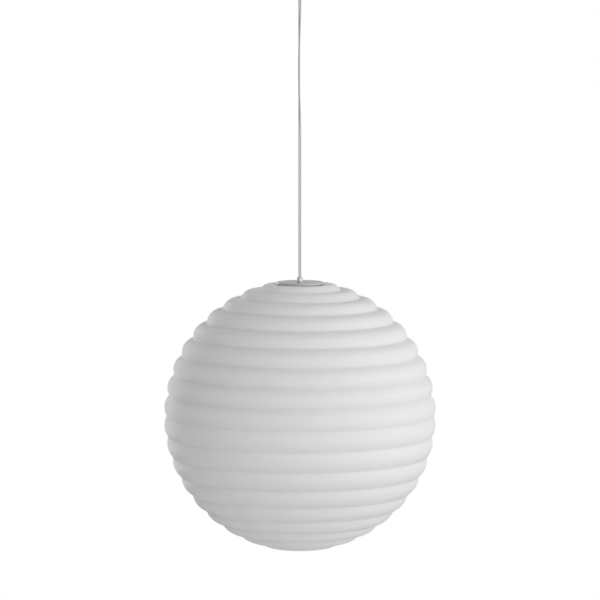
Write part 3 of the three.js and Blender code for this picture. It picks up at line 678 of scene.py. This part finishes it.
def canopy_outline(out, floor, rim):
    """The canopy's wall: down its side, round its edge, over the floor's mouth, and back inside.

    Both edges are quarter circles about one centre, and the mouth's lip is half a circle.
    """
    def arc(radius, angle):
        across = out - CANOPY_EDGE + radius * np.cos(angle)
        return np.stack([across, floor + CANOPY_EDGE - radius * np.sin(angle)], axis=-1)

    quarter = np.linspace(0, math.pi / 2, 10)
    lip = CANOPY_WALL / 2
    turn = np.linspace(-math.pi / 2, -3 * math.pi / 2, 9)
    mouth_lip = [CANOPY_MOUTH + lip + lip * np.cos(turn), floor + lip + lip * np.sin(turn)]
    top = [
        (out - CANOPY_WALL, rim), (out - 0.8 * CANOPY_WALL, rim),
        (out - 0.2 * CANOPY_WALL, rim), (out, rim - 0.2 * CANOPY_WALL),
    ]
    heights = np.linspace(rim - 0.5 * MM, floor + CANOPY_EDGE + 0.5 * MM, 12)
    side = np.stack([np.full(len(heights), out), heights], axis=-1)
    inner_arc = arc(CANOPY_EDGE - CANOPY_WALL, quarter)[::-1]
    return np.concatenate([top, side, arc(CANOPY_EDGE, quarter), np.stack(mouth_lip, axis=-1), inner_arc])


def make_ferrule():
    """The cord ferrule: a short sleeve with rounded ends and a round hole for its grub screw.

    Round the hole the outside is pressed in: radius = the sleeve's own less a smooth step of
    the distance from the hole's middle.
    """
    low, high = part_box("cord_ferrule")
    outer, rows = high.x, 60
    ends = [(CORD_HOLE, low.z), (outer, low.z), (outer, high.z), (CORD_HOLE, high.z)]
    arc_steps = 6
    outline = rounded(ends, 0.5 * MM, arc_steps)
    wall = np.stack([np.full(rows, outer), np.linspace(low.z + 0.6 * MM, high.z - 0.6 * MM, rows)], axis=-1)
    lower, upper = outline[:2 * arc_steps], outline[2 * arc_steps:]
    piece = turned("ferrule", np.concatenate([lower, wall, upper]), 224)
    mesh = piece.data
    points = np.empty(len(mesh.vertices) * 3, dtype=np.float32)
    mesh.vertices.foreach_get("co", points)
    points = points.reshape(-1, 3)
    middle = (low.z + high.z) / 2
    reach = np.hypot(points[:, 0], points[:, 2] - middle)
    outside = (np.hypot(points[:, 0], points[:, 1]) > outer - 0.05 * MM) & (points[:, 1] > 0)
    step = np.clip((GRUB_HOLE - reach) / (0.15 * MM), 0, 1)
    pressed = 1 - np.where(outside, GRUB_DEPTH * step * step * (3 - 2 * step), 0) / outer
    points[:, :2] *= pressed[:, None]
    mesh.vertices.foreach_set("co", points.ravel())
    mesh.update()
    settle(piece, "lid", "brushed_steel", "cord_ferrule")


def make_bulb():
    """The bulb's glass: a round that runs into the neck in an S curve.

    The neck's radius is a cubic in the height that leaves the round along its own slope and
    reaches the base nearly upright.
    """
    low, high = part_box("bulb_glass")
    wide = high.x
    centre = low.z + wide
    ball = np.radians(np.linspace(-90, BULB_LEAVE, 44))
    round_part = np.stack([wide * np.cos(ball), centre + wide * np.sin(ball)], axis=-1)
    start = round_part[-1]
    t = np.linspace(0, 1, 24)[1:, None]
    rise = high.z - start[1]
    height = start[1] + rise * t
    slopes = -math.tan(math.radians(BULB_LEAVE)) * (t ** 3 - 2 * t ** 2 + t) - 0.04 * (t ** 3 - t ** 2)
    radius = start[0] + (BULB_NECK - start[0]) * t * t * (3 - 2 * t) + rise * slopes
    outer = np.concatenate([round_part, np.concatenate([radius, height], axis=-1)])
    outer[0, 0] = 0
    inner = outer.copy()
    inner[:, 0] = np.maximum(outer[:, 0] - BULB_WALL, 0)
    inner[0, 1] += BULB_WALL
    lower = slice(1, 30)  # the lower half of the round
    inner[lower, 1] += 0.8 * BULB_WALL * np.clip(-np.sin(ball[lower]), 0, 1)
    profile = np.concatenate([outer, inner[::-1]])
    settle(turned("bulb", profile, 96), "bulb", "bulb_glass", "bulb_glass")


def make_lampholder():
    """The lampholder's cap and skirt, two turned walls of moulded plastic with soft edges."""
    wall = HOLDER_WALL
    low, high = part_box("holder_cap")
    out, bore = high.x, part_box("hollow_stem")[1].x + GAP
    dome = [
        (bore, high.z), (bore + 4 * MM, high.z), (out - 4 * MM, high.z - 3 * MM), (out, high.z - 9 * MM),
        (out, low.z), (out - wall, low.z), (out - wall, high.z - 9.5 * MM),
        (out - 5.5 * MM, high.z - 5 * MM), (bore + 3.5 * MM, high.z - wall), (bore, high.z - wall),
    ]
    cap = turned("cap", rounded(dome, 1.6 * MM, 7), HOLDER_SEGMENTS)
    settle(cap, "pendant", "white_plastic", "holder_cap")

    low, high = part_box("holder_skirt")
    out, inner = high.x - 1 * MM, SHELL_RADIUS + 0.6 * MM
    sleeve = [
        (out, high.z), (out + 1 * MM, high.z - wall), (out + 1 * MM, low.z + wall), (out - 1 * MM, low.z),
        (inner, low.z), (inner, low.z + wall), (out - wall, low.z + wall), (out - wall, high.z),
    ]
    skirt = turned("skirt", rounded(sleeve, 0.7 * MM, 6), HOLDER_SEGMENTS)
    settle(skirt, "pendant", "white_plastic", "holder_skirt")


def make_springs():
    """Three coil springs, each a wire wound about its arm's direction.

    Along the arm the wire goes forward evenly with the angle, and across it runs round a circle.
    """
    t = np.linspace(0, 1, SPRING_TURNS * 28)
    angle = FULL_TURN * SPRING_TURNS * t
    coil = SPRING_RADIUS - SPRING_WIRE
    forward = SPRING_START + SPRING_WIRE + (SPRING_LENGTH - 2 * SPRING_WIRE) * t
    for i in (1, 2, 3):
        low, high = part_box(f"arm_spring_{i}")
        height = (low.z + high.z) / 2
        line = np.stack([forward, coil * np.cos(angle), height + coil * np.sin(angle)], axis=-1)
        turn = math.pi / 2 + FULL_TURN * (i - 1) / 3
        ahead = np.array([math.cos(turn), math.sin(turn), 0])
        spin = np.array([ahead, [-math.sin(turn), math.cos(turn), 0], [0, 0, 1]])
        piece = tube(f"spring_{i}", line @ spin, lambda around, along: SPRING_WIRE, 8, across=ahead)
        settle(piece, "pendant", "brushed_steel", f"arm_spring_{i}", look="zinc_plated_steel")
        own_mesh(piece)


def dress_packed_parts():
    """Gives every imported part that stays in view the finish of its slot."""
    slots = {part["node"]: part["material_slot"] for part in frame["record"]["subparts"]}
    for name, part in nodes.items():
        chosen = FINISHES["flex_tail" if name == "flex_tail" else slots[name]]
        for place in part.material_slots:
            place.material = chosen


# ---- Light and floor ----

def light_the_room():
    """The room's glow, white wherever the camera sees it, and the lamps.

    Glow in the direction (x, y, z): even + a share of each of x, y and z, less band times z
    squared, and never under its least.
    """
    scene = bpy.context.scene
    scene.view_settings.view_transform = "Standard"
    world = bpy.data.worlds.new("room")
    scene.world = world
    world.use_nodes = True
    world.node_tree.nodes.clear()
    n = Nodes(world.node_tree)
    out = n.add("ShaderNodeOutputWorld")
    seen = n.add("ShaderNodeBackground")
    seen.inputs["Color"].default_value = (1, 1, 1, 1)
    glow = n.add("ShaderNodeBackground")
    glow.inputs["Color"].default_value = (0.985, 0.99, 1, 1)
    split = n.add("ShaderNodeSeparateXYZ")
    n.join(n.add("ShaderNodeTexCoord").outputs["Generated"], split.inputs[0])
    x, y, z = split.outputs
    level = n.calc("ADD", n.calc("MULTIPLY", x, ROOM["x"]), n.calc("MULTIPLY", y, ROOM["y"]))
    level = n.calc("ADD", level, n.calc("MULTIPLY", z, ROOM["z"]))
    level = n.calc("SUBTRACT", level, n.calc("MULTIPLY", n.calc("MULTIPLY", z, z), ROOM["band"]))
    level = n.calc("MAXIMUM", n.calc("ADD", level, ROOM["even"]), ROOM_LEAST)
    n.join(level, glow.inputs["Strength"])
    mix = n.add("ShaderNodeMixShader")
    n.join(n.add("ShaderNodeLightPath").outputs["Is Camera Ray"], mix.inputs[0])
    n.join(glow.outputs[0], mix.inputs[1])
    n.join(seen.outputs[0], mix.inputs[2])
    n.join(mix.outputs[0], out.inputs[0])

    for name, spot, side, watts in LAMPS:
        data = bpy.data.lights.new(name, "AREA")
        data.shape = "SQUARE"
        data.size = side
        data.energy = watts
        data.color = LAMP_COLOUR
        lamp = bpy.data.objects.new(name, data)
        lamp.location = spot
        aim = LAMP_AIM - np.array(spot)
        tilt = math.acos(-aim[2] / np.linalg.norm(aim))
        lamp.rotation_euler = (tilt, 0, math.atan2(aim[1], aim[0]) - math.pi / 2)
        scene.collection.objects.link(lamp)


def lay_floor():
    half, height = FLOOR_HALF, FLOOR_HEIGHT
    corners = [(-half, -half, height), (half, -half, height), (half, half, height), (-half, half, height)]
    mesh = bpy.data.meshes.new("floor")
    mesh.from_pydata(corners, [], [(0, 1, 2, 3)])
    floor = bpy.data.objects.new("floor", mesh)
    bpy.context.scene.collection.objects.link(floor)
    pale = bpy.data.materials.new("pale floor")
    pale.use_nodes = True
    shader = pale.node_tree.nodes["Principled BSDF"]
    shader.inputs["Base Color"].default_value = (0.86, 0.86, 0.86, 1)
    shader.inputs["Roughness"].default_value = 0.7
    mesh.materials.append(pale)


FINISHES = make_finishes()
place_camera()
make_cords()
make_globe()
make_turned_pieces()
make_ferrule()
make_bulb()
make_lampholder()
make_springs()
dress_packed_parts()
light_the_room()
lay_floor()
